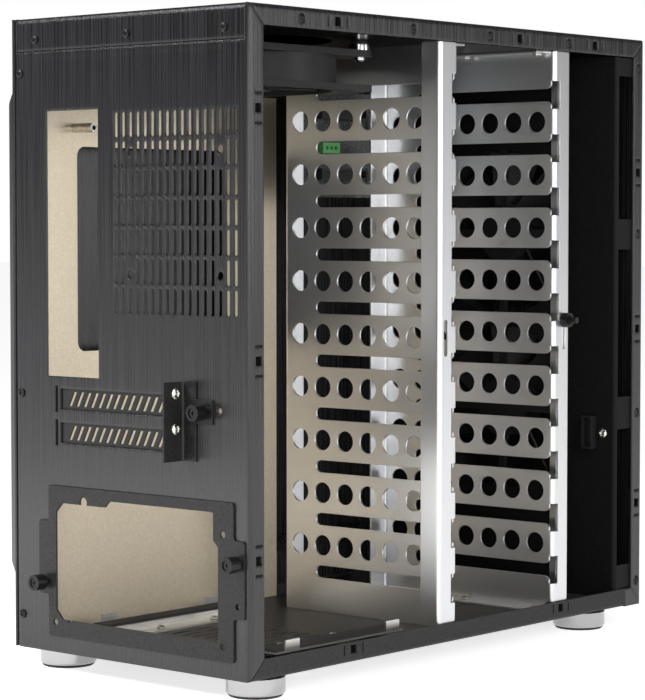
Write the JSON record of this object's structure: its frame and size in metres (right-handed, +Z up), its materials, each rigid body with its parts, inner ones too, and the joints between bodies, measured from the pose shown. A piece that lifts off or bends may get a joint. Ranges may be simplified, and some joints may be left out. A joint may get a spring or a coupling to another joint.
{
  "type": "mini-itx storage pc case",
  "caption": "Upright black sheet-metal PC case with its near side open: slotted drive cage, board tray, rear vent, card slots, supply bracket, fans and turned feet.",
  "frame": {"origin": "centre of the part's bounding box on the plane that the feet stand on", "axes": "+Z up, -Y out of the front panel, +Y out of the rear panel, -X out of the open side, +X out of the closed side"},
  "size_m": [0.2152, 0.412, 0.3945],
  "materials": {
    "black_panel": "brushed black",
    "gloss_black": "gloss black",
    "bracket_black": "satin black",
    "cage_steel": "satin",
    "tray_steel": "satin",
    "rail_steel": "satin",
    "standoff_steel": "turned",
    "bright_screw": "bright",
    "black_screw": "black",
    "chrome": "polished",
    "rubber": "matt",
    "clip_plastic": "matt",
    "fan_plastic": "satin",
    "post_steel": "turned",
    "board_black": "lacquered",
    "socket_black": "satin",
    "terminal_green": "satin",
    "button_metal": "satin",
    "holder_plastic": "matt",
    "port_metal": "satin"
  },
  "bodies": {
    "chassis": {"rear_panel": "black_panel", "front_panel": "black_panel", "top_cover": "black_panel", "roof_plate": "gloss_black", "bottom_panel": "gloss_black", "supply_bracket": "bracket_black", "slot_clamp": "bracket_black", "card_cover_lower": "bracket_black", "card_cover_upper": "bracket_black", "cage_plate_rear": "cage_steel", "cage_plate_front": "cage_steel", "front_bracket": "cage_steel", "motherboard_tray": "tray_steel", "supply_rails": "rail_steel", "standoffs": "standoff_steel", "card_screws": "bright_screw", "cage_screws": "bright_screw", "lead_screw": "bright_screw", "front_fan_screws": "bright_screw", "rail_screws": "bright_screw", "flange_screws": "black_screw", "rear_screws": "black_screw", "bracket_thumbscrews": "black_screw", "clamp_thumbscrew": "black_screw", "feet": "chrome", "roof_fan_collars": "chrome", "foot_pads": "rubber", "roof_fan_rings": "rubber", "rail_pads": "rubber", "panel_clips": "clip_plastic", "roof_fan_frame": "fan_plastic", "front_fan_frame_lower": "fan_plastic", "front_fan_frame_upper": "fan_plastic", "roof_fan_posts": "post_steel", "backplane_board": "board_black", "port_board": "board_black", "backplane_sockets": "socket_black", "lead_block": "socket_black", "backplane_terminal": "terminal_green", "button_holder": "holder_plastic", "front_ports": "port_metal"},
    "roof_fan": {"roof_fan_rotor": "fan_plastic"},
    "lower_front_fan": {"front_fan_rotor_lower": "fan_plastic"},
    "upper_front_fan": {"front_fan_rotor_upper": "fan_plastic"},
    "drive_lock": {"lock_bar": "cage_steel", "lock_thumbscrew": "black_screw"},
    "button": {"power_button": "button_metal"},
    "closed_side": {"side_panel": "black_panel", "panel_studs": "bright_screw"}
  },
  "joints": [
    {"name": "roof_fan_spin", "type": "hinge", "parent": "chassis", "child": "roof_fan", "pos_m": [-0.0025, 0.09375, 0.3642], "axis": [0, 0, 1], "continuous": true},
    {"name": "lower_front_fan_spin", "type": "hinge", "parent": "chassis", "child": "lower_front_fan", "pos_m": [-0.0025, -0.18855, 0.1437], "axis": [0, 1, 0], "continuous": true},
    {"name": "upper_front_fan_spin", "type": "hinge", "parent": "chassis", "child": "upper_front_fan", "pos_m": [-0.0025, -0.18855, 0.2645], "axis": [0, 1, 0], "continuous": true},
    {"name": "drive_lock_slide", "type": "slide", "parent": "chassis", "child": "drive_lock", "axis": [0, 0, -1], "range_m": [0, 0.015]},
    {"name": "button_press", "type": "slide", "parent": "chassis", "child": "button", "axis": [0, 1, 0], "range_m": [0, 0.0015], "stiffness_N_per_m": 400},
    {"name": "closed_side_pull", "type": "slide", "parent": "chassis", "child": "closed_side", "axis": [1, 0, 0], "range_m": [0, 0.02]}
  ]
}
